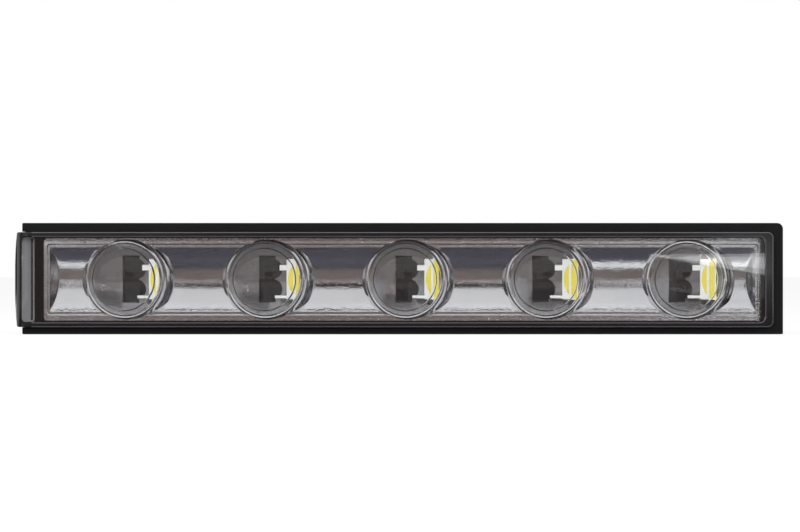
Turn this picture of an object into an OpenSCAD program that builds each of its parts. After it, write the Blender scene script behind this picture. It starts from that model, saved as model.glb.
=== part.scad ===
// Daytime running light: a slim strip lamp with five round projector lenses.
// Millimetres. X runs along the lamp, the face looks along -Y, Z is up.
// The origin is under the middle of the lamp, on the surface that it rests on.

/* [Housing] */
// Width of the black housing
housing_w = 205; // [200:1:230]
// Height of the housing
housing_h = 30; // [29:0.5:36]
// Depth of the housing from its front rim to its rear face
housing_d = 24; // [23.5:0.5:30]
// Thickness of the rear wall
rear_wall = 2.2; // [1.8:0.1:2.6]
// Thickness of the left end wall
end_wall = 2.6; // [2.2:0.1:3]
// Strip of the rim above the cover
rim_top = 2.35; // [1.8:0.05:2.6]
// Strip of the rim below the cover
rim_bottom = 1.85; // [1.6:0.05:2.4]
// Strip of the rim at the right end
rim_right = 2.9; // [2.2:0.1:3.6]
// Depth of the full-height rim
rim_d = 7; // [5:0.5:9]
// How far the walls behind the rim stand back from it
body_inset = 0.8; // [0.4:0.1:1]
// Radius of the rim's upper right corner
rim_corner_r = 1.6; // [0.6:0.1:2.4]
// Depth of the ledge that carries the cover, behind the rim
ledge_d = 3.2; // [2.8:0.1:4.5]
// Width of that ledge
ledge_w = 1.4; // [1:0.1:1.6]
// Number of ribs along the top and the bottom
rib_count = 9; // [3:1:12]
// Number of ribs on the right end
end_rib_count = 3; // [1:1:4]
// Thickness of a rib
rib_t = 1.6; // [1:0.1:2.4]

/* [Cover] */
// How far the cover's face stands in front of the rim
cover_proud = 4; // [3.6:0.1:6]
// Thickness of the cover
cover_t = 1.8; // [1.5:0.1:2]
// How far the cover's left end stands out past the housing
cover_bulge = 2; // [1.9:0.1:2.6]
// How far the cover's left end runs back, from the rim
cover_wrap = 8; // [7:0.1:9]
// Radius of the bend from the face to the left end
cover_bend_r = 5; // [3:0.5:6]
// Radius of the crown of the left end, seen from the front
cover_crown_r = 100; // [80:5:200]
// Corner radius of the cover, seen from the front
cover_corner_r = 1.5; // [0.8:0.1:1.7]
// Width of the black band along the top and the bottom
band_w = 1.3; // [1:0.05:1.5]
// Width of the black band at the two ends
band_end_w = 2.2; // [1.9:0.1:2.8]
// Width of the black band at the left end
band_left_w = 2.3; // [2:0.1:2.6]
// Thickness of the clear wall that turns back inside the left end
clear_wall = 2.9; // [2.2:0.1:3.4]
// Clearance between the cover and the rim
cover_gap = 0.15; // [0.1:0.05:0.25]
// Thickness of the sealing bead under the cover
seal_t = 0.4; // [0.3:0.05:0.6]

/* [Bezel] */
// Gap between the bezel and the inside of the left wall
bezel_left_gap = 2.8; // [2:0.1:3.6]
// Gap between the bezel and the inside of the right wall
bezel_right_gap = 1.1; // [0.5:0.1:2]
// Gap between the bezel and the walls above and below it
bezel_side_gap = 0.25; // [0.15:0.05:0.5]
// Wall of the bezel
bezel_t = 1.5; // [1.2:0.1:1.8]
// Distance from the rim back to the bezel's lips
bezel_setback = 3.6; // [3.4:0.1:4.4]
// Width of the lips above and below the channel
lip_w = 2.05; // [1.7:0.05:2.4]
// Depth of the channel
channel_d = 3.4; // [3:0.1:4.2]
// How far the collars and side walls reach back behind the channel's wall
collar_back = 2.6; // [1.5:0.1:3.2]
// Depth of the step along the lips
lip_step_d = 0.4; // [0.2:0.1:0.6]
// Width of the step along the lips
lip_step_w = 0.5; // [0.3:0.05:0.7]
// How far the channel's end walls lean in
end_lean = 2.6; // [1.5:0.1:3.5]
// Margin from the bezel's ends to the channel
end_margin = 1.3; // [1:0.1:2]

/* [Lenses] */
// Number of lenses
lens_count = 5; // [2:1:5]
// Distance from the bezel's left end to the first lens
row_left = 21.9; // [19:0.1:24]
// Distance from the last lens to the bezel's right end
row_right = 20.3; // [19:0.1:24]
// Wall of the bezel above and below a lens
lens_wall = 1.35; // [1.1:0.05:1.5]
// Radius of the lens dome
dome_r = 13; // [12.4:0.1:16]
// How far the lenses are turned towards the left end, in degrees
lens_yaw = 6; // [3:0.5:7]
// How far the lens rim stands in front of the bezel's lips
lens_proud = 0.4; // [0.2:0.1:0.6]
// Clearance round a lens
lens_gap = 0.15; // [0.1:0.05:0.2]
// Width of the collar's bright edge
collar_edge = 0.45; // [0.3:0.05:0.6]
// How far the collar flares out at the bottom of the channel
collar_flare = 2.5; // [1.2:0.1:2.6]
// Reach of the two ears that hold a lens
ear_reach = 1.5; // [1:0.1:1.8]
// Thickness of the ears
ear_t = 1.2; // [0.8:0.1:1.6]
// Height of the ears
ear_h = 11; // [8:0.5:13]

/* [Light chambers] */
// Width of the chamber's front edge that a lens rests on
chamber_edge = 2.75; // [2.6:0.05:3.2]
// Depth of the chamber down to its floor
chamber_d = 5.2; // [4.8:0.1:5.6]
// Thickness of the chamber's floor
floor_t = 0.8; // [0.6:0.1:1]
// Distance from the lens axis to the chamber's flat side
flat_side = 6.1; // [5.8:0.05:6.3]
// Width of a chamber block
cup_w = 17.5; // [17:0.1:19]
// How far a chamber block stays inside the bezel's height
cup_inset = 2.25; // [1.8:0.05:2.8]
// Width of the slot in the chamber's floor
slot_w = 2.2; // [1.8:0.1:2.4]
// Height of the slot in the chamber's floor
slot_h = 6.2; // [5.6:0.1:6.6]
// Distance from the lens axis to the slot
slot_x = 1.4; // [1.2:0.1:1.6]
// Radius of the two round holes that widen the slot
slot_hole_r = 1.35; // [1:0.05:1.5]
// Distance from the slot to the middle of its round holes
slot_hole_x = 0.7; // [0.6:0.05:0.8]

/* [Light sources] */
// Width of a light source
led_w = 2.35; // [2.2:0.05:2.5]
// Height of a light source
led_h = 6.2; // [6:0.1:7]
// Thickness of its upper part
led_t = 2.6; // [2.5:0.05:2.8]
// Margin of its base plate
led_base_margin = 0.8; // [0.5:0.1:1]
// Width of each of the two yellow phosphor strips
phosphor_w = 0.8; // [0.6:0.05:0.85]
// Radius of the left strip's round edge
phosphor_r = 4; // [3.6:0.1:4.2]
// Edge of the package round the strips
phosphor_edge = 0.2; // [0.1:0.05:0.2]
// Thickness of the yellow phosphor
phosphor_t = 0.3; // [0.2:0.05:0.5]
// Reach of the lower of the two connection tabs to the left of a light source
tab_reach = 1.9; // [1:0.1:2]
// Height of the upper tab
tab_h = 0.8; // [0.5:0.05:1]
// Thickness of the two tabs
tab_t = 0.5; // [0.3:0.1:0.8]
// Gap between a light source and the chamber's flat side
led_side_gap = 1.7; // [1.4:0.1:2]
// Clearance between a light source and its window in the chamber's floor
led_gap = 0.2; // [0.1:0.05:0.3]
// How far the phosphor stands in front of the chamber's floor
led_stand = 2.1; // [1.8:0.1:2.3]

/* [Circuit board] */
// Thickness of the board
board_t = 1.6; // [1:0.1:1.8]
// Gap between the board and the walls above and below it
board_side_gap = 1.75; // [1.2:0.05:2.1]
// Gap between the board and the bezel's screw posts
board_end_gap = 2.5; // [1:0.1:4]
// Height of the small components over and under the middle
component_z = 5; // [4.4:0.1:6]
// Room between a small component and the chamber or the screw beside it
component_gap = 0.5; // [0.3:0.1:1]
// Height of the driver chip
chip_h = 4; // [3:0.1:5]
// Thickness of the driver chip
chip_t = 1.5; // [1:0.1:2]
// Height of the diode
diode_h = 2.6; // [2:0.1:3.4]
// Thickness of the diode
diode_t = 2.1; // [1.4:0.1:2.6]
// Radius of the inductor's coil
coil_r = 2.4; // [1.8:0.1:2.6]
// Height of the inductor
coil_t = 3; // [2:0.1:4]
// Width of a capacitor
capacitor_w = 3.2; // [2:0.1:3.6]
// Width of a resistor
resistor_w = 2; // [1.6:0.1:3.2]
// Thickness of the heat-conducting pad
pad_t = 0.5; // [0.3:0.05:0.8]

/* [Heat sink] */
// Gap between the heat sink and the socket or the vent beside it
sink_gap = 4.3; // [3:0.1:5]
// How far its base plate stays inside the height of the cavity
sink_inset = 0.8; // [0.5:0.05:1.3]
// Thickness of its base plate
sink_base_t = 2; // [1.6:0.1:2.6]
// Number of fins
fin_count = 23; // [12:1:24]
// Thickness of a fin
fin_t = 1.3; // [0.8:0.1:1.4]
// Height of a fin
fin_d = 5.6; // [4:0.1:5.8]
// Height of the pedestal that reaches in to the board
pedestal_h = 9.6; // [8.8:0.1:10.2]
// Margin from the pedestal to the ends of the base plate
pedestal_margin = 3; // [2.4:0.1:4]
// Clearance round the pedestal
pedestal_gap = 0.3; // [0.2:0.05:0.5]

/* [Rear] */
// How far the mounting bosses stand out behind the housing
rear_reach = 8; // [7.7:0.1:10]
// Distance from the bezel's ends to the mounting bosses and the screw posts
mount_margin = 4.6; // [4.4:0.1:5.4]
// Radius of a mounting boss
boss_r = 4.2; // [3.9:0.1:4.3]
// Outer radius of a brass insert
insert_r = 2.8; // [2.6:0.05:3]
// Bore radius of a brass insert
insert_bore_r = 2; // [1.6:0.05:2.1]
// Length of a brass insert
insert_l = 7; // [5:0.1:7.4]
// Radius of the bezel's screw posts
post_r = 2.4; // [2.1:0.1:2.5]
// Width of the connector socket
socket_w = 15; // [14.6:0.1:16]
// Height of the connector socket
socket_h = 12.6; // [12:0.1:14]
// Wall of the connector socket
socket_wall = 1.5; // [1.2:0.1:1.7]
// Gap between the left boss and the socket
socket_gap = 1.8; // [1:0.1:3]
// Spacing of the two contact blades
blade_pitch = 6; // [5.8:0.1:6.6]
// Thickness of a contact blade
blade_t = 0.8; // [0.6:0.1:0.9]
// Height of a contact blade
blade_h = 2.8; // [2:0.1:3.2]
// How far the blades stay inside the socket's mouth
blade_inset = 1.6; // [1:0.1:2.4]
// Radius of the vent plug's cap
vent_r = 3.4; // [3:0.1:3.6]
// Gap between the vent plug's cap and the right boss
vent_gap = 1.4; // [0.6:0.1:2]

/* [Screws] */
// Radius of a screw's head
head_r = 2; // [1.7:0.05:2.1]
// Thickness of a screw's head
head_t = 1.5; // [1:0.1:1.8]
// Radius of a screw's shank
shank_r = 1.2; // [0.9:0.05:1.3]
// Length of the bezel's and the heat sink's screws in what they hold
grip = 6; // [4:0.1:7]
// Clearance round a shank
shank_gap = 0.1; // [0.05:0.05:0.2]

/* [Hidden] */
$fn = 72;
over = 1; // how far a cut runs past the faces it opens
total_w = housing_w + cover_bulge;
total_d = cover_proud + housing_d + rear_reach;
left_x = -total_w / 2;
right_x = total_w / 2;
body_x = left_x + cover_bulge;
face_y = -total_d / 2;
rim_y = face_y + cover_proud;
back_y = rim_y + housing_d;
rear_y = back_y + rear_reach;
inner_back_y = back_y - rear_wall;
ledge_y = rim_y + ledge_d;
mid_z = (rim_bottom + housing_h - rim_top) / 2;
opening_h = housing_h - rim_top - rim_bottom;
opening_r = right_x - rim_right;
cavity_h = opening_h - 2 * ledge_w;
cavity_r = opening_r - ledge_w;
cavity_l = body_x + end_wall;

cover_h = opening_h - 2 * cover_gap;
cover_r = opening_r - cover_gap;
cover_inner_x = left_x + cover_t;
skirt_y = ledge_y - seal_t;
wrap_y = rim_y + cover_wrap;
rebate = (end_wall - (cover_inner_x - body_x)) / 4;
rebate_x = cover_inner_x + rebate;
side_seat_y = wrap_y - band_end_w + cover_gap;
clear_end_y = side_seat_y - seal_t;
seal_end_y = wrap_y - band_end_w / 5;

lip_y = rim_y + bezel_setback;
bezel_l = cavity_l + bezel_left_gap;
bezel_r = cavity_r - bezel_right_gap;
bezel_w = bezel_r - bezel_l;
bezel_x = (bezel_l + bezel_r) / 2;
bezel_h = cavity_h - 2 * bezel_side_gap;
channel_h = bezel_h - 2 * lip_w;
channel_r = (channel_h * channel_h / 4 + channel_d * channel_d) / (2 * channel_d);
channel_y = lip_y + channel_d - channel_r;
channel_floor_y = lip_y + channel_d;
collar_d = channel_d + bezel_t + collar_back;
bore_r = bezel_h / 2 - lens_wall;
lens_r = bore_r - lens_gap;
lens_pitch = (bezel_w - row_left - row_right) / (lens_count - 1);
chamber_r = lens_r - chamber_edge;
cup_h = bezel_h - 2 * cup_inset;
collar_r = bore_r + collar_edge;
flare_r = collar_r + collar_flare;
dome_sag = dome_r - sqrt(dome_r * dome_r - lens_r * lens_r);
lens_l = collar_d + lens_proud;
rim_plane_y = lip_y - lens_proud;
floor_y = lens_l + chamber_d;
board_y = rim_plane_y + floor_y * cos(lens_yaw) + chamber_r * sin(lens_yaw) + floor_t;
cup_l = floor_y + floor_t + (chamber_r + cup_w) * tan(lens_yaw);
board_back_y = board_y + board_t;
blade_y = board_y + board_t / 2;
led_front_y = rim_plane_y + (floor_y - led_stand) * cos(lens_yaw);
led_x = (flat_side - led_side_gap) * cos(lens_yaw) - led_w / 2
    + (floor_y - led_stand) * sin(lens_yaw);

mount_l = bezel_l + mount_margin;
mount_r = bezel_r - mount_margin;
post_z = bezel_h / 2 - post_r;
board_h = cavity_h - 2 * board_side_gap;
board_l = mount_l + post_r + board_end_gap;
board_r = mount_r - post_r - board_end_gap;
beside_w = (lens_pitch - cup_w) / 2 - (cup_w / 2 + cup_l) * sin(lens_yaw) - 2 * component_gap;
socket_x = mount_l + boss_r + socket_gap + socket_w / 2;
vent_x = mount_r - boss_r - vent_gap - vent_r;
sink_l = socket_x + socket_w / 2 + sink_gap;
sink_r = vent_x - vent_r - sink_gap;
sink_w = sink_r - sink_l;
sink_x = (sink_l + sink_r) / 2;
sink_h = cavity_h - 2 * sink_inset;
sink_y = back_y + sink_base_t;
fin_pitch = (sink_w - fin_t) / (fin_count - 1);
pedestal_y = board_back_y + pad_t;
pedestal_w = sink_w - 2 * pedestal_margin;
sink_screw_z = (sink_h + pedestal_h) / 4;
sink_post_r = (sink_h - pedestal_h) / 4 - 2 * pedestal_gap;
vent_hole_r = vent_r * 0.6;
slip = 0.05; // clearance of a close fit

BLACK = [0.09, 0.09, 0.1];
CHROME = [0.78, 0.79, 0.82];
CLEAR = [0.85, 0.9, 0.95, 0.35];

LENS = [for (i = [1:lens_count]) str("lens_", i)];
CUP = [for (i = [1:lens_count]) str("reflector_cup_", i)];
LED = [for (i = [1:lens_count]) str("led_", i)];
PHOSPHOR = [for (i = [1:lens_count]) str("phosphor_", i)];

function lens_x(i) = bezel_l + row_left + (i - 1) * lens_pitch;
function fin_x(i) = sink_l + fin_t / 2 + i * fin_pitch;
function between_x(i) = (lens_x(i) + lens_x(i + 1)) / 2;
sink_screw_x = [fin_x(1.5), fin_x(fin_count - 2.5)];

// A flat outline in the XZ plane, drawn from one depth to another
module deep(y0, y1) {
    translate([0, y1, 0])
        rotate([90, 0, 0])
            linear_extrude(y1 - y0)
                children();
}

// A flat outline in the XY plane, drawn upwards
module tall(z0, z1) {
    translate([0, 0, z0])
        linear_extrude(z1 - z0)
            children();
}

// A block between two corners
module block(x, y, z) {
    translate([x[0], y[0], z[0]])
        cube([x[1] - x[0], y[1] - y[0], z[1] - z[0]]);
}

// A block centred on a place of the row, from one depth to another
module pad(x, z, w, h, y0, y1) {
    block([x - w / 2, x + w / 2], [y0, y1], [z - h / 2, z + h / 2]);
}

// A round bar or bore along Y
module bar(x, z, r, y0, y1) {
    translate([x, y1, z])
        rotate([90, 0, 0])
            cylinder(h = y1 - y0, r = r);
}

// A rectangle with rounded corners: upper left, upper right, lower right, lower left
module plate(x0, x1, z0, z1, r) {
    difference() {
        translate([x0, z0])
            square([x1 - x0, z1 - z0]);
        corner_waste(x0, z1, 270, r[0]);
        corner_waste(x1, z1, 180, r[1]);
        corner_waste(x1, z0, 90, r[2]);
        corner_waste(x0, z0, 0, r[3]);
    }
}

// What a rounding takes off a corner
module corner_waste(x, z, turn, r) {
    if (r > 0)
        translate([x, z])
            rotate(turn)
                difference() {
                    translate([-over, -over])
                        square(r + over);
                    translate([r, r])
                        circle(r);
                }
}

// Moves to a lens: its origin is the middle of the lens rim, Y runs along its axis
module at_lens(i) {
    translate([lens_x(i), rim_plane_y, mid_z])
        rotate([0, 0, -lens_yaw])
            children();
}

// One solid projector lens: a dome, a round barrel and two ears
module lens(i) {
    color(CLEAR)
        at_lens(i)
            union() {
                rotate([-90, 0, 0])
                    rotate_extrude()
                        lens_section();
                lens_ears(ear_reach, ear_h, lens_l - ear_t);
            }
}

// Half of the lens section: radius against depth
module lens_section() {
    square([lens_r, lens_l]);
    intersection() {
        translate([0, dome_r - dome_sag])
            circle(dome_r);
        translate([0, -dome_sag])
            square([lens_r, dome_sag]);
    }
}

// The two ears at the back of a lens, or the pocket for them
module lens_ears(reach, h, y0) {
    intersection() {
        bar(0, 0, lens_r + reach, y0, lens_l);
        pad(0, 0, 4 * lens_r, h, y0, lens_l);
    }
}

// The black tray: rim, ribbed walls, rear wall with its bosses and the connector socket
module housing() {
    color(BLACK)
        difference() {
            union() {
                deep(rim_y, rim_y + rim_d)
                    plate(body_x, right_x, 0, housing_h, [0.4, rim_corner_r, 0.4, 0.4]);
                deep(rim_y + rim_d - over, back_y)
                    plate(body_x, right_x - body_inset, body_inset, housing_h - body_inset, [1, 1, 1, 1]);
                ribs();
                for (x = [mount_l, mount_r]) bar(x, mid_z, boss_r, back_y - over, rear_y);
                pad(socket_x, mid_z, socket_w, socket_h, back_y - over, rear_y);
                for (x = sink_screw_x, s = [-1, 1])
                    bar(x, mid_z + s * sink_screw_z, sink_post_r, pedestal_y, inner_back_y + slip);
            }
            cover_seat();
            difference() {
                block([cavity_l, cavity_r], [ledge_y - over, inner_back_y], [mid_z - cavity_h / 2, mid_z + cavity_h / 2]);
                for (x = sink_screw_x, s = [-1, 1])
                    bar(x, mid_z + s * sink_screw_z, sink_post_r, pedestal_y, inner_back_y + over);
            }
            pad(sink_x, mid_z, pedestal_w + 2 * pedestal_gap, pedestal_h + 2 * pedestal_gap,
                inner_back_y - over, back_y + over);
            for (x = [mount_l, mount_r]) {
                bar(x, mid_z, insert_r, rear_y - insert_l, rear_y + over);
                for (s = [-1, 1])
                    bar(x, mid_z + s * post_z, shank_r + shank_gap, inner_back_y - over, back_y + over);
            }
            for (x = sink_screw_x, s = [-1, 1])
                bar(x, mid_z + s * sink_screw_z, shank_r, pedestal_y - over, back_y + over);
            bar(vent_x, mid_z, vent_hole_r, inner_back_y - over, back_y + over);
            pad(socket_x, mid_z, socket_w - 2 * socket_wall, socket_h - 2 * socket_wall, back_y, rear_y + over);
            for (s = [-1, 1])
                pad(socket_x + s * blade_pitch / 2, mid_z, blade_t, blade_h, inner_back_y - over, back_y + over);
        }
}

// Ribs on the top, the bottom and the right end, level with the rim
module ribs() {
    step = (housing_w - 2 * end_wall) / (rib_count + 1);
    for (i = [1:rib_count])
        block([body_x + i * step - rib_t / 2, body_x + i * step + rib_t / 2], [rim_y + rim_d - over, back_y],
            [0, housing_h]);
    end_step = housing_h / (end_rib_count + 1);
    for (i = [1:end_rib_count])
        block([right_x - body_inset - over, right_x], [rim_y + rim_d - over, back_y],
            [i * end_step - rib_t / 2, i * end_step + rib_t / 2]);
}

// The room that the cover takes: the front opening, the open left end and the rebate behind it
module cover_seat() {
    deep(rim_y - over, ledge_y)
        plate(body_x - over, opening_r, mid_z - opening_h / 2, mid_z + opening_h / 2,
            [0, cover_corner_r, cover_corner_r, 0]);
    block([body_x - over, rebate_x], [ledge_y - over, wrap_y + cover_gap],
        [mid_z - opening_h / 2, mid_z + opening_h / 2]);
    block([body_x - over, cavity_l + over], [ledge_y - over, side_seat_y],
        [mid_z - cavity_h / 2, mid_z + cavity_h / 2]);
}

// The outer form of the cover before it is hollowed
module cover_form() {
    intersection() {
        tall(0, housing_h)
            union() {
                translate([left_x + cover_bend_r, face_y])
                    square([cover_r - left_x - cover_bend_r, skirt_y - face_y]);
                intersection() {
                    translate([left_x + cover_bend_r, face_y + cover_bend_r])
                        circle(cover_bend_r);
                    translate([left_x, face_y])
                        square(cover_bend_r);
                }
                translate([left_x, face_y + cover_bend_r])
                    square([cover_bend_r, skirt_y - face_y - cover_bend_r]);
                translate([left_x, skirt_y - over])
                    square([cover_t, wrap_y - skirt_y + over]);
            }
        deep(face_y - over, wrap_y + over)
            intersection() {
                plate(left_x, cover_r, mid_z - cover_h / 2, mid_z + cover_h / 2,
                    [cover_corner_r, cover_corner_r, cover_corner_r, cover_corner_r]);
                union() {
                    translate([left_x + cover_crown_r, mid_z])
                        circle(cover_crown_r);
                    translate([left_x + cover_crown_r, 0])
                        square([total_w, housing_h]);
                }
            }
    }
}

// The hollow behind the cover's face
module cover_hollow() {
    inner_bend_r = cover_bend_r - cover_t;
    intersection() {
        tall(0, housing_h)
            union() {
                translate([left_x + cover_bend_r, face_y + cover_t])
                    square([total_w, total_d]);
                translate([left_x + cover_bend_r, face_y + cover_bend_r])
                    circle(inner_bend_r);
                translate([cover_inner_x, face_y + cover_bend_r])
                    square([total_w, total_d]);
            }
        deep(face_y, wrap_y + 2 * over)
            plate(cover_inner_x - over, cover_r - cover_t, mid_z - cover_h / 2 + cover_t,
                mid_z + cover_h / 2 - cover_t, [0, 0.5, 0.5, 0]);
    }
}

// The part of the cover that stays clear: the front window and its inner wall at the left end
module window_zone() {
    deep(face_y - over, clear_end_y)
        plate(left_x + band_left_w, cover_r - band_end_w, mid_z - cover_h / 2 + band_w, mid_z + cover_h / 2 - band_w,
            [band_w, cover_corner_r, cover_corner_r, band_w]);
}

module outer_lens() {
    color(CLEAR)
        intersection() {
            difference() {
                cover_form();
                difference() {
                    cover_hollow();
                    block([left_x, cover_inner_x + clear_wall], [face_y, clear_end_y], [0, housing_h]);
                }
            }
            window_zone();
        }
}

// The black band moulded round the clear window, with the skirt that sits in the housing
module cover_rim() {
    color(BLACK)
        difference() {
            cover_form();
            cover_hollow();
            window_zone();
        }
}

module lens_seal() {
    color([0.16, 0.16, 0.17])
        difference() {
            union() {
                deep(skirt_y, ledge_y)
                    plate(rebate_x, cover_r - slip, mid_z - cover_h / 2, mid_z + cover_h / 2,
                        [0, cover_corner_r, cover_corner_r, 0]);
                block([cover_inner_x, rebate_x], [skirt_y, seal_end_y],
                    [mid_z - cover_h / 2, mid_z + cover_h / 2]);
                block([cover_inner_x, cover_inner_x + clear_wall], [clear_end_y, side_seat_y],
                    [mid_z - cavity_h / 2 + slip, mid_z + cavity_h / 2 - slip]);
            }
            block([rebate_x, cavity_r], [skirt_y - over, clear_end_y],
                [mid_z - cavity_h / 2, mid_z + cavity_h / 2]);
            block([cover_inner_x + clear_wall, cavity_r], [skirt_y - over, ledge_y + over],
                [mid_z - cavity_h / 2, mid_z + cavity_h / 2]);
            block([cover_inner_x - over, rebate_x + over], [skirt_y - over, clear_end_y],
                [mid_z - cavity_h / 2, mid_z + cavity_h / 2]);
        }
}

// The trough between two slanted ends, wider and deeper by a wall where it is the bezel's back
module channel(wall) {
    z0 = mid_z - bezel_h;
    intersection() {
        translate([bezel_l - over, channel_y, mid_z])
            rotate([0, 90, 0])
                cylinder(h = bezel_w + 2 * over, r = channel_r + wall);
        tall(z0, z0 + 2 * bezel_h)
            polygon([
                [bezel_l + end_margin - wall, lip_y],
                [bezel_r - end_margin + wall, lip_y],
                [bezel_r - end_margin - end_lean + wall, channel_floor_y + wall],
                [bezel_l + end_margin + end_lean - wall, channel_floor_y + wall],
            ]);
    }
}

// The chromed bezel: lips, trough, flared lens collars and screw posts
module bezel() {
    color(CHROME)
        difference() {
            union() {
                difference() {
                    union() {
                        pad(bezel_x, mid_z, bezel_w, bezel_h, lip_y, lip_y + bezel_t);
                        skirt();
                        intersection() {
                            channel(bezel_t);
                            bezel_room();
                        }
                        for (x = [mount_l, mount_r], s = [-1, 1])
                            bar(x, mid_z + s * post_z, post_r, lip_y + bezel_t / 2, inner_back_y);
                    }
                    trough();
                }
                intersection() {
                    bezel_room();
                    for (i = [1:lens_count]) at_lens(i) collar();
                }
            }
            for (i = [1:lens_count])
                at_lens(i) {
                    bar(0, 0, bore_r, -over, lens_l + over);
                    lens_ears(ear_reach + lens_gap, ear_h + 2 * lens_gap, lens_l - ear_t);
                    bar(0, 0, bore_r + lens_gap, lens_l, lens_l + over);
                }
            for (x = [mount_l, mount_r], s = [-1, 1])
                bar(x, mid_z + s * post_z, shank_r, back_y - grip, back_y);
        }
}

// The length and height that the bezel keeps within
module bezel_room() {
    pad(bezel_x, mid_z, bezel_w, bezel_h, rim_plane_y - over, back_y);
}

// The side walls of the bezel
module skirt() {
    wall = bezel_t * 0.8;
    difference() {
        pad(bezel_x, mid_z, bezel_w, bezel_h, lip_y, lip_y + collar_d);
        pad(bezel_x, mid_z, bezel_w - 2 * wall, bezel_h - 2 * wall, lip_y - over,
            lip_y + collar_d + over);
    }
}

// What is cut out of the front: the channel, its open front and the step along the lips
module trough() {
    channel(0);
    block([bezel_l + end_margin, bezel_r - end_margin], [lip_y - over, lip_y + slip],
        [mid_z - channel_h / 2, mid_z + channel_h / 2]);
    block([bezel_l + end_margin - lip_step_w, bezel_r - end_margin + lip_step_w], [lip_y - over, lip_y + lip_step_d],
        [mid_z - channel_h / 2 - lip_step_w, mid_z + channel_h / 2 + lip_step_w]);
}

// One collar: a straight sleeve and a flare that meets the trough
module collar() {
    foot = lens_proud + channel_d;
    bar(0, 0, collar_r, 0, lens_l);
    translate([0, foot, 0])
        rotate([90, 0, 0])
            cylinder(h = foot * 0.9, r1 = flare_r, r2 = collar_r);
    bar(0, 0, flare_r, foot - slip, lens_l);
}

// A metallised light chamber: a round well with one flat side, open to the lens
module reflector_cup(i) {
    color([0.62, 0.62, 0.64])
        difference() {
            at_lens(i)
                pad(0, 0, cup_w, cup_h, lens_l, cup_l);
            at_lens(i) {
                difference() {
                    bar(0, 0, chamber_r, lens_l - over, floor_y);
                    block([flat_side, chamber_r + over], [0, 2 * floor_y], [-chamber_r - over, chamber_r + over]);
                }
                pad(-slot_x, 0, slot_w, slot_h, lens_l, 2 * floor_y);
                for (s = [-1, 1]) bar(slot_hole_x - slot_x, s * slot_hole_r, slot_hole_r, lens_l, 2 * floor_y);
            }
            pad(lens_x(i) + led_x, mid_z, led_w + 2 * led_gap, led_h + 2 * led_gap, led_front_y - 2 * slip,
                back_y);
            pad(lens_x(i) + led_x, mid_z, led_w + 2 * led_base_margin + 2 * slip,
                led_h + 2 * led_base_margin + 2 * slip, led_front_y + led_t - slip, back_y);
            block([-total_w, total_w], [board_y, total_d], [-housing_h, 2 * housing_h]);
        }
}

// A light source: base plate and raised package with a pocket for the phosphor
module led(i) {
    x = lens_x(i) + led_x;
    color([0.93, 0.92, 0.88])
        difference() {
            union() {
                pad(x, mid_z, led_w, led_h, led_front_y, board_y);
                pad(x, mid_z, led_w + 2 * led_base_margin, led_h + 2 * led_base_margin, led_front_y + led_t, board_y);
                tab(x, mid_z + led_h * 0.28, tab_h, tab_reach * 0.62);
                tab(x, mid_z - led_h * 0.43, tab_h / 2, tab_reach);
            }
            phosphor_form(i, over);
        }
}

// A connection tab that stands out to the left of a light source, over the chamber's floor
module tab(x, z, h, reach) {
    block([x - led_w / 2 - reach, x], [led_front_y + tab_t, led_front_y + 2 * tab_t], [z - h / 2, z + h / 2]);
}

// Two strips of phosphor side by side: the left one has a round edge, the right one is straight
module phosphor_form(i, front) {
    x0 = lens_x(i) + led_x - led_w / 2 + phosphor_edge;
    x1 = lens_x(i) + led_x + led_w / 2 - phosphor_edge;
    deep(led_front_y - front, led_front_y + phosphor_t)
        intersection() {
            translate([x0 + phosphor_r, mid_z])
                circle(phosphor_r);
            translate([x0, 0])
                square([phosphor_w, housing_h]);
        }
    pad(x1 - phosphor_w / 2, mid_z, phosphor_w, led_h - 2 * phosphor_edge, led_front_y - front,
        led_front_y + phosphor_t);
}

module phosphor(i) {
    color([0.93, 0.83, 0.25])
        phosphor_form(i, 0);
}

module circuit_board() {
    color([0.07, 0.08, 0.08])
        difference() {
            block([board_l, board_r], [board_y, board_back_y], [mid_z - board_h / 2, mid_z + board_h / 2]);
            for (i = [1:lens_count - 1])
                bar(between_x(i), mid_z, shank_r + shank_gap, board_y - over, board_back_y + over);
            for (s = [-1, 1])
                pad(socket_x + s * blade_pitch / 2, mid_z, blade_t, blade_h, blade_y, board_back_y + over);
        }
}

module thermal_pad() {
    color([0.55, 0.6, 0.68])
        difference() {
            pad(sink_x, mid_z, pedestal_w, pedestal_h, board_back_y, pedestal_y);
            for (i = [1:lens_count - 1])
                bar(between_x(i), mid_z, shank_r + shank_gap, board_y, back_y);
        }
}

// Finned heat sink on the rear face, with a pedestal that reaches in to the board
module heat_sink() {
    color([0.66, 0.67, 0.69])
        difference() {
            union() {
                pad(sink_x, mid_z, sink_w, sink_h, back_y, sink_y);
                pad(sink_x, mid_z, pedestal_w, pedestal_h, pedestal_y, back_y + slip);
                for (i = [0:fin_count - 1])
                    pad(fin_x(i), mid_z, fin_t, sink_h, sink_y - slip, sink_y + fin_d);
            }
            for (x = sink_screw_x, s = [-1, 1])
                bar(x, mid_z + s * sink_screw_z, shank_r + shank_gap, back_y - over, sink_y + over);
            for (i = [1:lens_count - 1])
                bar(between_x(i), mid_z, shank_r, pedestal_y - over, board_y + grip);
        }
}

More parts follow.
